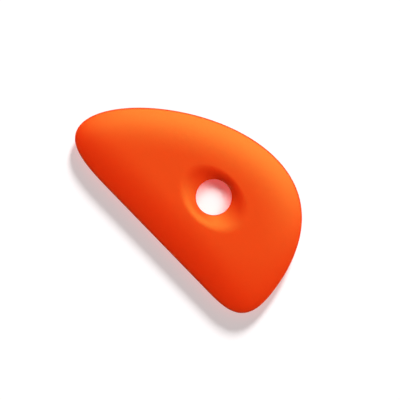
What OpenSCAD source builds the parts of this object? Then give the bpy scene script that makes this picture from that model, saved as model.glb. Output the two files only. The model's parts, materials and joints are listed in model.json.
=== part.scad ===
// Soft silicone pottery rib: a half-moon finishing rib, thick in the middle and
// thin all round its edge, with a finger hole in an oval dish on each face.
// The origin is the centre of the finger hole, halfway through the thickness.
// +X runs along the straight edge to the blunt heel, +Y to the curved back.

/* [Outline] */
// Overall length, from the nose tip to the heel
rib_length = 108; // [98:1:130]
// Overall width, from the straight edge to the top of the curved back
rib_width = 60; // [52:1:76]
// Height of the nose tip above the straight edge
nose_height = 11.4; // [8:0.2:16]
// Height of the heel's outermost point above the straight edge
heel_height = 13.4; // [9:0.2:18]
// Distance along the rib from the nose tip to the start of the straight edge
nose_reach = 28.9; // [20:0.1:36]
// Distance along the rib from the end of the straight edge to the heel
heel_reach = 20.5; // [14:0.1:28]
// Distance along the rib from the nose tip to the highest point of the back
crown_from_nose = 68.3; // [58:0.1:78]

/* [Roundness] */
// Curve from the straight edge up to the nose tip, at each end of the curve
nose_roundness = [0.49, 0.99]; // [0.3:0.01:1]
// Long curve of the back, at the nose tip and at the crown
back_roundness = [0.36, 0.46]; // [0.3:0.01:1]
// Curve from the crown down to the heel, at the crown and at the heel
shoulder_roundness = [0.87, 0.2]; // [0.15:0.01:1]
// Curve from the heel down to the straight edge, at each end of the curve
corner_roundness = [1, 0.48]; // [0.3:0.01:1]

/* [Thickness] */
// Thickness of the flat middle
thickness = 7.6; // [6:0.2:11]
// Thickness of the rounded edge
edge_thickness = 1.5; // [0.8:0.1:3]
// Distance from the edge over which each face slopes down
slope_width = 16.6; // [12:0.1:17.4]

/* [Finger hole] */
// Diameter of the finger hole
hole_d = 15.2; // [12:0.2:18]
// Distance along the rib from the nose tip to the centre of the hole
hole_from_nose = 61.4; // [54:0.1:70]
// Height of the centre of the hole above the straight edge
hole_from_edge = 29.6; // [26:0.1:34]
// Length of the oval dish round the hole
dish_length = 34.2; // [28:0.2:42]
// Width of the oval dish round the hole
dish_width = 24; // [22:0.2:30]
// How far the middle of the dish lies from the centre of the hole, along X and Y
dish_offset = [0.3, -0.6]; // [-1:0.1:1]
// Depth of the dish at the hole
dish_depth = 2.3; // [1:0.1:2.6]
// Width of the soft rounding where the dish meets the face
rim_softness = 3.2; // [0.8:0.1:5]

/* [Hidden] */

// Spacing of the points round the outline, and rings across each part of a face
outline_step = 3.5;
dish_rings = 6;
slope_rings = 10;
edge_rings = 3;

// Corner points of the outline, measured from the centre of the hole
edge_y = -hole_from_edge;
nose_x = -hole_from_nose;
heel_x = rib_length - hole_from_nose;
crown_y = rib_width - hole_from_edge;
edge_start = [nose_x + nose_reach, edge_y];
nose_tip = [nose_x, edge_y + nose_height];
crown = [nose_x + crown_from_nose, crown_y];
heel = [heel_x, edge_y + heel_height];
edge_end = [heel_x - heel_reach, edge_y];

// Heights above the middle plane
flat_z = thickness / 2;
edge_r = edge_thickness / 2;

// The rings start just inside the hole, which is cut through them afterwards
hole_r = hole_d / 2;
start_r = hole_r - 0.4;

// Radius of the arc by which a face falls from the flat middle to the edge
fall = flat_z - edge_r;
slope_r = (slope_width * slope_width + fall * fall) / (2 * fall);

// Point at t on the curve from p to q that leaves both ends towards corner
function curve_point(p, corner, q, roundness, t) =
    let (s = 1 - t)
    let (a = p + roundness[0] * (corner - p))
    let (b = q + roundness[1] * (corner - q))
    s * s * s * p + 3 * s * s * t * a + 3 * s * t * t * b + t * t * t * q;

// Number of steps along a stretch from p to q
function steps(p, q) = max(4, round(1.1 * norm(q - p) / outline_step));

function curve(p, corner, q, roundness) =
    let (n = steps(p, q))
    [for (i = [0:n - 1]) curve_point(p, corner, q, roundness, i / n)];

function straight(p, q) =
    let (n = steps(p, q))
    [for (i = [0:n - 1]) p + (q - p) * i / n];

// The outline runs clockwise, from the straight edge round the nose and the back
outline = concat(
    curve(edge_start, [nose_x, edge_y], nose_tip, nose_roundness),
    curve(nose_tip, [nose_x, crown_y], crown, back_roundness),
    curve(crown, [heel_x, crown_y], heel, shoulder_roundness),
    curve(heel, [heel_x, edge_y], edge_end, corner_roundness),
    straight(edge_end, edge_start)
);
count = len(outline);

// Every second point is near enough for the softened distance below
corners = [for (i = [0:2:count - 1]) outline[i]];

// Integral of 1 / (h * h + s * s) ^ 2 along a line, at s from the foot of h
function pull_at(s, h) =
    s / (2 * h * h * (h * h + s * s)) + atan(s / h) * PI / 180 / (2 * h * h * h);

// Pull of the stretch of edge from a to b on the point p
function pull(p, a, b) =
    let (along = (b - a) / norm(b - a))
    let (h = max(abs(cross(along, p - a)), 0.001))
    pull_at((b - p) * along, h) - pull_at((a - p) * along, h);

function sum(list) = list * [for (i = list) 1];

// Distance from p to the edge, softened where p has edges on several sides
function edge_distance(p) =
    let (n = len(corners))
    let (total = sum([for (i = [0:n - 1]) pull(p, corners[i], corners[(i + 1) % n])]))
    pow(PI / 2 / total, 1 / 3);

// Height of a face at distance d inside the edge, without the edge's rounding
function slope_z(d) =
    let (left = max(slope_width - d, 0))
    flat_z - slope_r + sqrt(slope_r * slope_r - left * left);

// Point p in units of the dish's oval, which turn the oval into a circle of radius 1
function in_oval(p) = [2 * p[0] / dish_length, 2 * p[1] / dish_width];

// Distance from the centre of the hole to the dish's oval in the direction of p
function dish_radius(p) =
    let (u = in_oval(p / norm(p)))
    let (c = in_oval(dish_offset))
    (u * c + sqrt(pow(u * c, 2) + u * u * (1 - c * c))) / (u * u);

// Depth of the dish at p: a straight wall, rounded off near the rim
function dish_drop(p) =
    let (rim = dish_radius(p))
    let (soft = min(rim_softness, rim - hole_r))
    let (inside = rim - norm(p))
    let (run = inside < soft ? inside * inside / (2 * soft) : inside - soft / 2)
    dish_depth * run / (rim - hole_r - soft / 2);

// Rings of points over one face, from the hole outwards
dish_loops = [
    for (j = [0:dish_rings])
    [
        for (p = outline)
        let (radius = start_r + (dish_radius(p) - start_r) * j / dish_rings)
        let (q = p / norm(p) * radius)
        [q[0], q[1], slope_z(edge_distance(q)) - dish_drop(q)]
    ]
];

// Share of each spoke, from its outline point inwards, that lies 1 mm from the edge
inset = [
    for (i = [0:count - 1])
    let (before = outline[(i + count - 1) % count])
    let (after = outline[(i + 1) % count])
    norm(after - before) / abs(cross(after - before, outline[i]))
];

slope_loops = [
    for (j = [1:slope_rings])
    [
        for (i = [0:count - 1])
        let (p = outline[i])
        let (from = dish_radius(p) / norm(p))
        let (to = 1 - inset[i] * edge_r)
        let (q = p * (from + (to - from) * j / slope_rings))
        [q[0], q[1], slope_z(edge_distance(q))]
    ]
];

// The edge is a quarter round on each face
edge_loops = [
    for (j = [edge_rings - 1:-1:1])
    let (angle = 90 * j / edge_rings)
    let (d = edge_r * (1 - cos(angle)))
    [
        for (i = [0:count - 1])
        let (q = outline[i] * (1 - inset[i] * d))
        [q[0], q[1], slope_z(d) - edge_r * (1 - sin(angle))]
    ]
];

face_loops = concat(dish_loops, slope_loops, edge_loops);
outline_loop = [for (p = outline) [p[0], p[1], 0]];
start_z = min([for (p = dish_loops[0]) p[2]]);

function mirrored(loop) = [for (p = loop) [p[0], p[1], -p[2]]];
function backwards(list) = [for (i = [len(list) - 1:-1:0]) list[i]];

// Closed skin of triangles through loops of points, with a fan to a middle point at
// each end and the diagonals mirrored about the middle loop
module skin(loops, top, bottom) {
    middle = (len(loops) - 1) / 2;
    total = len(loops) * count;
    function at(j, i) = j * count + i % count;
    bands = [
        for (j = [0:len(loops) - 2], i = [0:count - 1])
        each j < middle
            ? [[at(j, i), at(j + 1, i + 1), at(j, i + 1)], [at(j, i), at(j + 1, i), at(j + 1, i + 1)]]
            : [[at(j, i), at(j + 1, i), at(j, i + 1)], [at(j, i + 1), at(j + 1, i), at(j + 1, i + 1)]]
    ];
    first = [for (i = [0:count - 1]) [at(0, i), at(0, i + 1), total]];
    last = [for (i = [0:count - 1]) [at(len(loops) - 1, i + 1), at(len(loops) - 1, i), total + 1]];
    points = concat([for (loop = loops) each loop], [top, bottom]);
    polyhedron(points = points, faces = concat(bands, first, last));
}

module rib_body() {
    under = backwards([for (loop = face_loops) mirrored(loop)]);
    color("orangered")
    difference() {
        skin(concat(face_loops, [outline_loop], under), [0, 0, start_z], [0, 0, -start_z]);
        cylinder(d = hole_d, h = thickness + 2, center = true, $fn = 96);
    }
}

rib_body();
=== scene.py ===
import json
import math

import bpy
import numpy as np
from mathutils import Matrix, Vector


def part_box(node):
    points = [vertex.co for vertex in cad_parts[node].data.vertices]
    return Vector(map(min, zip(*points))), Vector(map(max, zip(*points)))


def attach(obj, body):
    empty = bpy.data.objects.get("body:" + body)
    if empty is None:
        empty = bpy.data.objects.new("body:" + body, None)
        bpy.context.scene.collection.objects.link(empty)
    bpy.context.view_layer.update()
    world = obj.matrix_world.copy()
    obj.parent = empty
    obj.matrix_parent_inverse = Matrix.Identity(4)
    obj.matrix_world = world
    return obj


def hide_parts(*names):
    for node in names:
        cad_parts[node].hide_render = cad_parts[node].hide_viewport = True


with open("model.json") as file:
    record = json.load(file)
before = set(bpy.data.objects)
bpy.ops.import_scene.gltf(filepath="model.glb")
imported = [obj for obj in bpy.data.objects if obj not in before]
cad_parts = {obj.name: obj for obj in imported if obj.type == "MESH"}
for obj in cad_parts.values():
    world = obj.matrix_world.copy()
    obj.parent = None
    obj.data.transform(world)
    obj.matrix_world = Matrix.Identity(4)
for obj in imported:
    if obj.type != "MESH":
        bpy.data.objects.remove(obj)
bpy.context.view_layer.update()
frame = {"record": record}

# The rib
#
# A half moon of soft silicone rubber, pressed in one shot in a two-part mould: thick
# and flat in the middle, falling away on both faces to a thin round edge. A finger
# hole runs through it, in an oval dish on each face.

# Sizes are in millimetres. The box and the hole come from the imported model.
MM = 0.001
low, high = (np.array(corner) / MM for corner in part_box("rib_body"))
mounts = {mount["name"]: mount for mount in frame["record"]["mounts"]}
hole_r = mounts["finger_hole"]["dims"]["r_mm"]
lip_z = mounts["finger_hole"]["dims"]["length_mm"] / 2
flat_z = high[2]
nose_height = 11.4
heel_height = 13.4
nose_reach = 28.9
heel_reach = 20.5
crown_from_nose = 68.3
nose_roundness = (0.49, 0.99)
back_roundness = (0.36, 0.46)
shoulder_roundness = (0.87, 0.2)
corner_roundness = (1.0, 0.48)
edge_r = 0.75
slope_width = 16.6
dish_size = np.array([34.2, 24.0])
dish_offset = np.array([0.3, -0.6])
rim_softness = 4.0
mouth_r = 0.3

# Corner points of the outline, measured from the centre of the hole.
nose_x, edge_y = low[:2]
heel_x, crown_y = high[:2]
edge_start = np.array([nose_x + nose_reach, edge_y])
nose_tip = np.array([nose_x, edge_y + nose_height])
crown = np.array([nose_x + crown_from_nose, crown_y])
heel = np.array([heel_x, edge_y + heel_height])
edge_end = np.array([heel_x - heel_reach, edge_y])


def steps(start, end, spacing):
    """Shares of the way from start to end, about spacing apart, without the last."""
    count = max(4, round(1.1 * np.linalg.norm(end - start) / spacing))
    return np.arange(count)[:, None] / count


def curve(start, corner, end, roundness, spacing):
    """Points on the curve from start to end that leaves both ends towards corner."""
    t = steps(start, end, spacing)
    s = 1 - t
    near = start + roundness[0] * (corner - start)
    far = end + roundness[1] * (corner - end)
    return s**3 * start + 3 * s * s * t * near + 3 * s * t * t * far + t**3 * end


def outline_points(spacing):
    """The outline, clockwise from the straight edge round the nose and the back."""
    return np.vstack([
        curve(edge_start, np.array([nose_x, edge_y]), nose_tip, nose_roundness, spacing),
        curve(nose_tip, np.array([nose_x, crown_y]), crown, back_roundness, spacing),
        curve(crown, np.array([heel_x, crown_y]), heel, shoulder_roundness, spacing),
        curve(heel, np.array([heel_x, edge_y]), edge_end, corner_roundness, spacing),
        edge_end + (edge_start - edge_end) * steps(edge_end, edge_start, spacing),
    ])


outline = outline_points(spacing=0.6)
coarse_outline = outline_points(spacing=1.8)


def pull_at(s, h):
    """Integral of 1 / (h * h + s * s) ** 2 along a line, at s from the foot of h."""
    return s / (2 * h * h * (h * h + s * s)) + np.arctan2(s, h) / (2 * h**3)


def edge_distance(points):
    """Distance to the edge, softened where a point has edges on several sides."""
    total = np.zeros(len(points))
    for start, end in zip(coarse_outline, np.roll(coarse_outline, -1, axis=0)):
        along = (end - start) / np.linalg.norm(end - start)
        aside = (start - points) @ np.array([along[1], -along[0]])
        h = np.maximum(np.abs(aside), 0.001)
        total += pull_at((end - points) @ along, h) - pull_at((start - points) @ along, h)
    return (math.pi / 2 / total) ** (1 / 3)


# Radius of the arc by which a face falls from the flat middle to the edge.
fall = flat_z - edge_r
slope_r = (slope_width**2 + fall**2) / (2 * fall)


def slope_z(distance):
    """Height of a face at a distance inside the edge, before the edge is rounded."""
    left = np.maximum(slope_width - distance, 0)
    return flat_z - slope_r + np.sqrt(slope_r**2 - left**2)


# The mesh is rings of points on spokes that run from the middle of the hole to the
# outline. Divided by its half size, the dish's oval is a circle of radius 1.
reach = np.linalg.norm(outline, axis=1)
spoke = outline / reach[:, None]
oval_spoke = spoke / (dish_size / 2)
oval_offset = dish_offset / (dish_size / 2)
length_squared = (oval_spoke**2).sum(axis=1)
lean = oval_spoke @ oval_offset
half_chord = np.sqrt(lean**2 + length_squared * (1 - oval_offset @ oval_offset))
dish_r = (lean + half_chord) / length_squared
soft = np.minimum(rim_softness, dish_r - hole_r)


def ring_points(radius):
    """Points at a radius along every spoke."""
    return spoke * np.broadcast_to(radius, reach.shape)[:, None]


def ring(radius, height):
    """One ring of the mesh, at a radius and height along every spoke."""
    return np.column_stack([ring_points(radius), np.broadcast_to(height, reach.shape)])


def dish_z(radius):
    """Height of the dish at a radius on every spoke: a straight wall with a soft rim."""
    inside = dish_r - radius
    run = np.where(inside < soft, inside**2 / (2 * soft), inside - soft / 2)
    drop = (flat_z - lip_z) * run / (dish_r - hole_r - soft / 2)
    return slope_z(edge_distance(ring_points(radius))) - drop


# One face, from the middle of the hole's wall over its rounded mouth and up the dish.
wall_rings = 5
mouth_rings = 5
dish_rings = 24
mouth_z = dish_z(hole_r) - mouth_r
rings = [ring(hole_r, mouth_z * (k + 0.5) / wall_rings) for k in range(wall_rings)]
for angle in np.linspace(0, math.pi / 2, mouth_rings + 1):
    radius = hole_r + mouth_r * (1 - math.cos(angle))
    rings.append(ring(radius, dish_z(radius) - mouth_r * (1 - math.sin(angle))))
mouth_end = hole_r + mouth_r
for share in np.linspace(0, 1, dish_rings + 1)[1:]:
    radius = mouth_end + share * (dish_r - mouth_end)
    rings.append(ring(radius, dish_z(radius)))

# The slope down to the edge, which is a quarter round on each face.
slope_rings = 40
edge_rings = 7
tangent = np.roll(outline, -1, axis=0) - np.roll(outline, 1, axis=0)
facing = np.abs(tangent[:, 0] * spoke[:, 1] - tangent[:, 1] * spoke[:, 0])
slant = np.linalg.norm(tangent, axis=1) / facing
slope_end = reach - slant * edge_r
for share in np.linspace(0, 1, slope_rings + 1)[1:]:
    radius = dish_r + share * (slope_end - dish_r)
    rings.append(ring(radius, slope_z(edge_distance(ring_points(radius)))))
for angle in np.linspace(math.pi / 2, 0, edge_rings + 1)[1:-1]:
    inside = edge_r * (1 - math.cos(angle))
    rings.append(ring(reach - slant * inside, slope_z(inside) - edge_r * (1 - math.sin(angle))))

under = [loop * (1, 1, -1) for loop in reversed(rings)]
loops = rings + [ring(reach, 0)] + under

# Each ring is joined to the next, and the last to the first, down the hole's wall.
count = len(outline)
here = np.arange(count)
after = (here + 1) % count
faces = []
for j in range(len(loops)):
    inner = j * count
    outer = (j + 1) % len(loops) * count
    faces.append(np.column_stack([inner + here, inner + after, outer + after, outer + here]))
mesh = bpy.data.meshes.new("rib_body_silicone")
mesh.from_pydata((np.vstack(loops) * MM).tolist(), [], np.vstack(faces).tolist())
mesh.validate()
mesh.shade_smooth()
rib = bpy.data.objects.new("rib_body_silicone", mesh)
bpy.context.collection.objects.link(rib)


def srgb(code):
    """An sRGB hex colour as a linear colour."""
    parts = [int(code[i:i + 2], 16) / 255 for i in (0, 2, 4)]
    return [p / 12.92 if p <= 0.04045 else ((p + 0.055) / 1.055) ** 2.4 for p in parts] + [1.0]


def add_node(tree, kind, settings=None, links=None):
    """Adds a node with its settings, by attribute or by input, and links to its inputs."""
    node = tree.nodes.new(kind)
    for key, value in (settings or {}).items():
        if isinstance(key, str) and hasattr(node, key):
            setattr(node, key, value)
        else:
            node.inputs[key].default_value = value
    for key, socket in (links or {}).items():
        tree.links.new(socket, node.inputs[key])
    return node


def new_tree(owner):
    """The empty node tree of a material or a world."""
    owner.use_nodes = True
    owner.node_tree.nodes.clear()
    return owner.node_tree


# Moulded silicone rubber, tinted orange in the mass. Red light wanders through it for
# millimetres and green much less, so the side away from the light stays a clear deep
# red. The satin surface turns yellow-orange in a broad sheen where it faces the light.
silicone = bpy.data.materials.new("moulded_silicone")
tree = new_tree(silicone)
place = add_node(tree, "ShaderNodeTexCoord")

# Pigment never mixes quite evenly, which leaves very faint clouds in the colour.
cloud_size = 9.0
cloud = add_node(tree, "ShaderNodeTexNoise", {"Scale": 1 / (cloud_size * MM), "Detail": 2.0},
                 {"Vector": place.outputs["Object"]})
tint = add_node(tree, "ShaderNodeMix", {"data_type": "RGBA", 6: srgb("FC1E02"), 7: srgb("FF1F02")},
                {"Factor": cloud.outputs["Fac"]})

# The dish is a little more matte than the face, so the sheen is weaker there.
dish_centre = (dish_offset[0] * MM, dish_offset[1] * MM, 0)
stretch = (2 / (dish_size[0] * MM), 2 / (dish_size[1] * MM), 0)
from_dish = add_node(tree, "ShaderNodeVectorMath", {"operation": "SUBTRACT", 1: dish_centre},
                     {0: place.outputs["Object"]})
in_oval = add_node(tree, "ShaderNodeVectorMath", {"operation": "MULTIPLY", 1: stretch},
                   {0: from_dish.outputs[0]})
oval = add_node(tree, "ShaderNodeVectorMath", {"operation": "LENGTH"}, {0: in_oval.outputs[0]})
satin = add_node(tree, "ShaderNodeMapRange", {
    "interpolation_type": "SMOOTHSTEP",
    "From Min": 0.75,
    "From Max": 1.15,
    "To Min": 0.56,
    "To Max": 0.50,
}, {"Value": oval.outputs["Value"]})

# The satin mould leaves a fine grain, drawn coarser here than it is, so that it shows.
grain_size = 0.8
grain_depth = 0.07
grain = add_node(tree, "ShaderNodeTexNoise", {"Scale": 1 / (grain_size * MM), "Detail": 2.0},
                 {"Vector": place.outputs["Object"]})
bump = add_node(tree, "ShaderNodeBump", {"Strength": 0.6, "Distance": grain_depth * MM},
                {"Height": grain.outputs["Fac"]})

# Silicone rubber has an IOR of about 1.41. It is raised here to match the real sheen.
shader = add_node(tree, "ShaderNodeBsdfPrincipled", {
    "IOR": 1.6,
    "Subsurface Weight": 1.0,
    "Subsurface Radius": (3.0, 1.5, 0.8),
    "Subsurface Scale": MM,
    "Subsurface Anisotropy": 0.0,
    "Specular IOR Level": 1.0,
    "Specular Tint": srgb("A0F764"),
}, {
    "Base Color": tint.outputs[2],
    "Roughness": satin.outputs["Result"],
    "Normal": bump.outputs["Normal"],
})
add_node(tree, "ShaderNodeOutputMaterial", {}, {"Surface": shader.outputs["BSDF"]})
mesh.materials.append(silicone)
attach(rib, "root")
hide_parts("rib_body")

# The paper
#
# A plain sheet of matte white paper, on which the rib lies. The part of the sheet that
# shows through the finger hole is a disc of its own, because its light is set apart.
sheet_half = 2000.0
disc_r = 11.0
disc_sides = 64
paper_z = low[2] - 0.02
disc_z = paper_z + 0.01


def lay_paper(name, corners, z):
    """A flat piece of paper with these corners, in millimetres."""
    mesh = bpy.data.meshes.new(name)
    mesh.from_pydata([(x * MM, y * MM, z * MM) for x, y in corners], [], [range(len(corners))])
    sheet = bpy.data.objects.new(name, mesh)
    bpy.context.collection.objects.link(sheet)
    return sheet


sheet_corners = [(x * sheet_half, y * sheet_half) for x, y in ((-1, -1), (1, -1), (1, 1), (-1, 1))]
turns = [2 * math.pi * k / disc_sides for k in range(disc_sides)]
disc_corners = [(disc_r * math.cos(turn), disc_r * math.sin(turn)) for turn in turns]
open_paper = lay_paper("open_paper", sheet_corners, paper_z)
hole_paper = lay_paper("hole_paper", disc_corners, disc_z)


def white_paper(name, white, glow, painted_glow_near_rib):
    """Matte white paper. The eye and gloss see part of its white as a glow, so that the shadow
    is as light as in the studio, and near the rib, by ambient occlusion, a painted red glow that
    stands in for light through the rubber. The light that it scatters comes from matte paper alone."""
    material = bpy.data.materials.new(name)
    tree = new_tree(material)
    path = add_node(tree, "ShaderNodeLightPath")
    eye_or_gloss = add_node(tree, "ShaderNodeMath", {"operation": "ADD", "use_clamp": True},
                            {0: path.outputs["Is Camera Ray"], 1: path.outputs["Is Glossy Ray"]})
    seen = add_node(tree, "ShaderNodeMath", {"operation": "ADD", "use_clamp": True},
                    {0: eye_or_gloss.outputs[0], 1: path.outputs["Is Transmission Ray"]})
    # Painted red glow: where ambient occlusion finds the rib near, the paper's glow turns red.
    occlusion_mask_for_painted_glow = add_node(tree, "ShaderNodeAmbientOcclusion", {"samples": 8, "Distance": 10 * MM})
    painted_glow_colour = add_node(tree, "ShaderNodeMix", {
        "data_type": "RGBA",
        6: srgb(painted_glow_near_rib),
        7: srgb(glow),
    }, {"Factor": occlusion_mask_for_painted_glow.outputs["AO"]})
    lift = add_node(tree, "ShaderNodeEmission", {"Strength": 1.0}, {"Color": painted_glow_colour.outputs[2]})
    bright = add_node(tree, "ShaderNodeBsdfDiffuse", {"Color": srgb(white)})
    lifted = add_node(tree, "ShaderNodeAddShader", {}, {0: bright.outputs[0], 1: lift.outputs[0]})
    matte = add_node(tree, "ShaderNodeBsdfDiffuse", {"Color": srgb("E7E7E7")})
    mix = add_node(tree, "ShaderNodeMixShader", {},
                   {0: seen.outputs[0], 1: matte.outputs[0], 2: lifted.outputs[0]})
    add_node(tree, "ShaderNodeOutputMaterial", {}, {"Surface": mix.outputs[0]})
    return material


# F1B8B8 and E24545 are painted red glows near the rib; in the hole the glow paints the shadow red.
open_paper.data.materials.append(white_paper("white_paper", "C2C2C2", "B8B8B8", "F1B8B8"))
hole_paper.data.materials.append(white_paper("white_paper_in_hole", "FFFFFF", "454545", "E24545"))

# The light
#
# A dim warm room with one long soft strip of light behind the curved back of the rib,
# made of a row of lamps, and a lower lamp that lights only the open paper.
room_level = 0.175
world = bpy.data.worlds.new("warm_room")
bpy.context.scene.world = world
tree = new_tree(world)
path = add_node(tree, "ShaderNodeLightPath")
room = add_node(tree, "ShaderNodeBackground", {"Color": srgb("FFADAD"), "Strength": room_level})
backdrop = add_node(tree, "ShaderNodeBackground", {"Color": srgb("FFFFFF"), "Strength": 1.0})
mix = add_node(tree, "ShaderNodeMixShader", {},
               {0: path.outputs["Is Camera Ray"], 1: room.outputs[0], 2: backdrop.outputs[0]})
add_node(tree, "ShaderNodeOutputWorld", {}, {"Surface": mix.outputs[0]})


def lit_group(name, things):
    """A group of objects that a lamp lights, while everything casts its shadow on them."""
    group = bpy.data.collections.new(name)
    for thing in things:
        group.objects.link(thing)
    return group


def add_sun(name, azimuth, elevation, level, width, lit):
    """A distant soft lamp that lights a level surface to level times its colour. Its
    place in the sky and its width are in degrees."""
    a, e = math.radians(azimuth), math.radians(elevation)
    lamp = bpy.data.lights.new(name, "SUN")
    lamp.energy = level * math.pi / math.sin(e)
    lamp.angle = math.radians(width)
    sun = bpy.data.objects.new(name, lamp)
    towards = Vector((math.cos(e) * math.cos(a), math.cos(e) * math.sin(a), math.sin(e)))
    sun.rotation_mode = "QUATERNION"
    sun.rotation_quaternion = towards.to_track_quat("Z", "Y")
    bpy.context.collection.objects.link(sun)
    sun.light_linking.receiver_collection = lit


strip_lamps = 5
strip_middle = 108
strip_spacing = 20.5
strip_level = 0.84
by_strip = lit_group("lit_by_strip", [rib, hole_paper])
for k in range(strip_lamps):
    azimuth = strip_middle + strip_spacing * (k - (strip_lamps - 1) / 2)
    add_sun(f"strip_{k}", azimuth, elevation=46, level=strip_level / strip_lamps, width=26, lit=by_strip)

# A soft rib seldom lies quite flat, so its shadow on open paper is wide. This flat one has
# a shadow as wide only under a lower lamp.
by_low_lamp = lit_group("lit_by_low_lamp", [open_paper])
add_sun("low_lamp", azimuth=117, elevation=24, level=0.95, width=12, lit=by_low_lamp)

# The camera
#
# It looks straight down on the rib through a long lens, turned as the photograph is.
view_centre = (-3.22, -5.02)
view_width = 169.2
view_turn = 45.84
camera_data = bpy.data.cameras.new("camera")
camera_data.lens = 120
camera_data.sensor_width = 36
view_height = view_width * camera_data.lens / camera_data.sensor_width
camera = bpy.data.objects.new("camera", camera_data)
camera.location = (view_centre[0] * MM, view_centre[1] * MM, view_height * MM)
camera.rotation_euler = (0, 0, math.radians(view_turn))
bpy.context.collection.objects.link(camera)
bpy.context.scene.camera = camera
bpy.context.scene.view_settings.view_transform = "Standard"
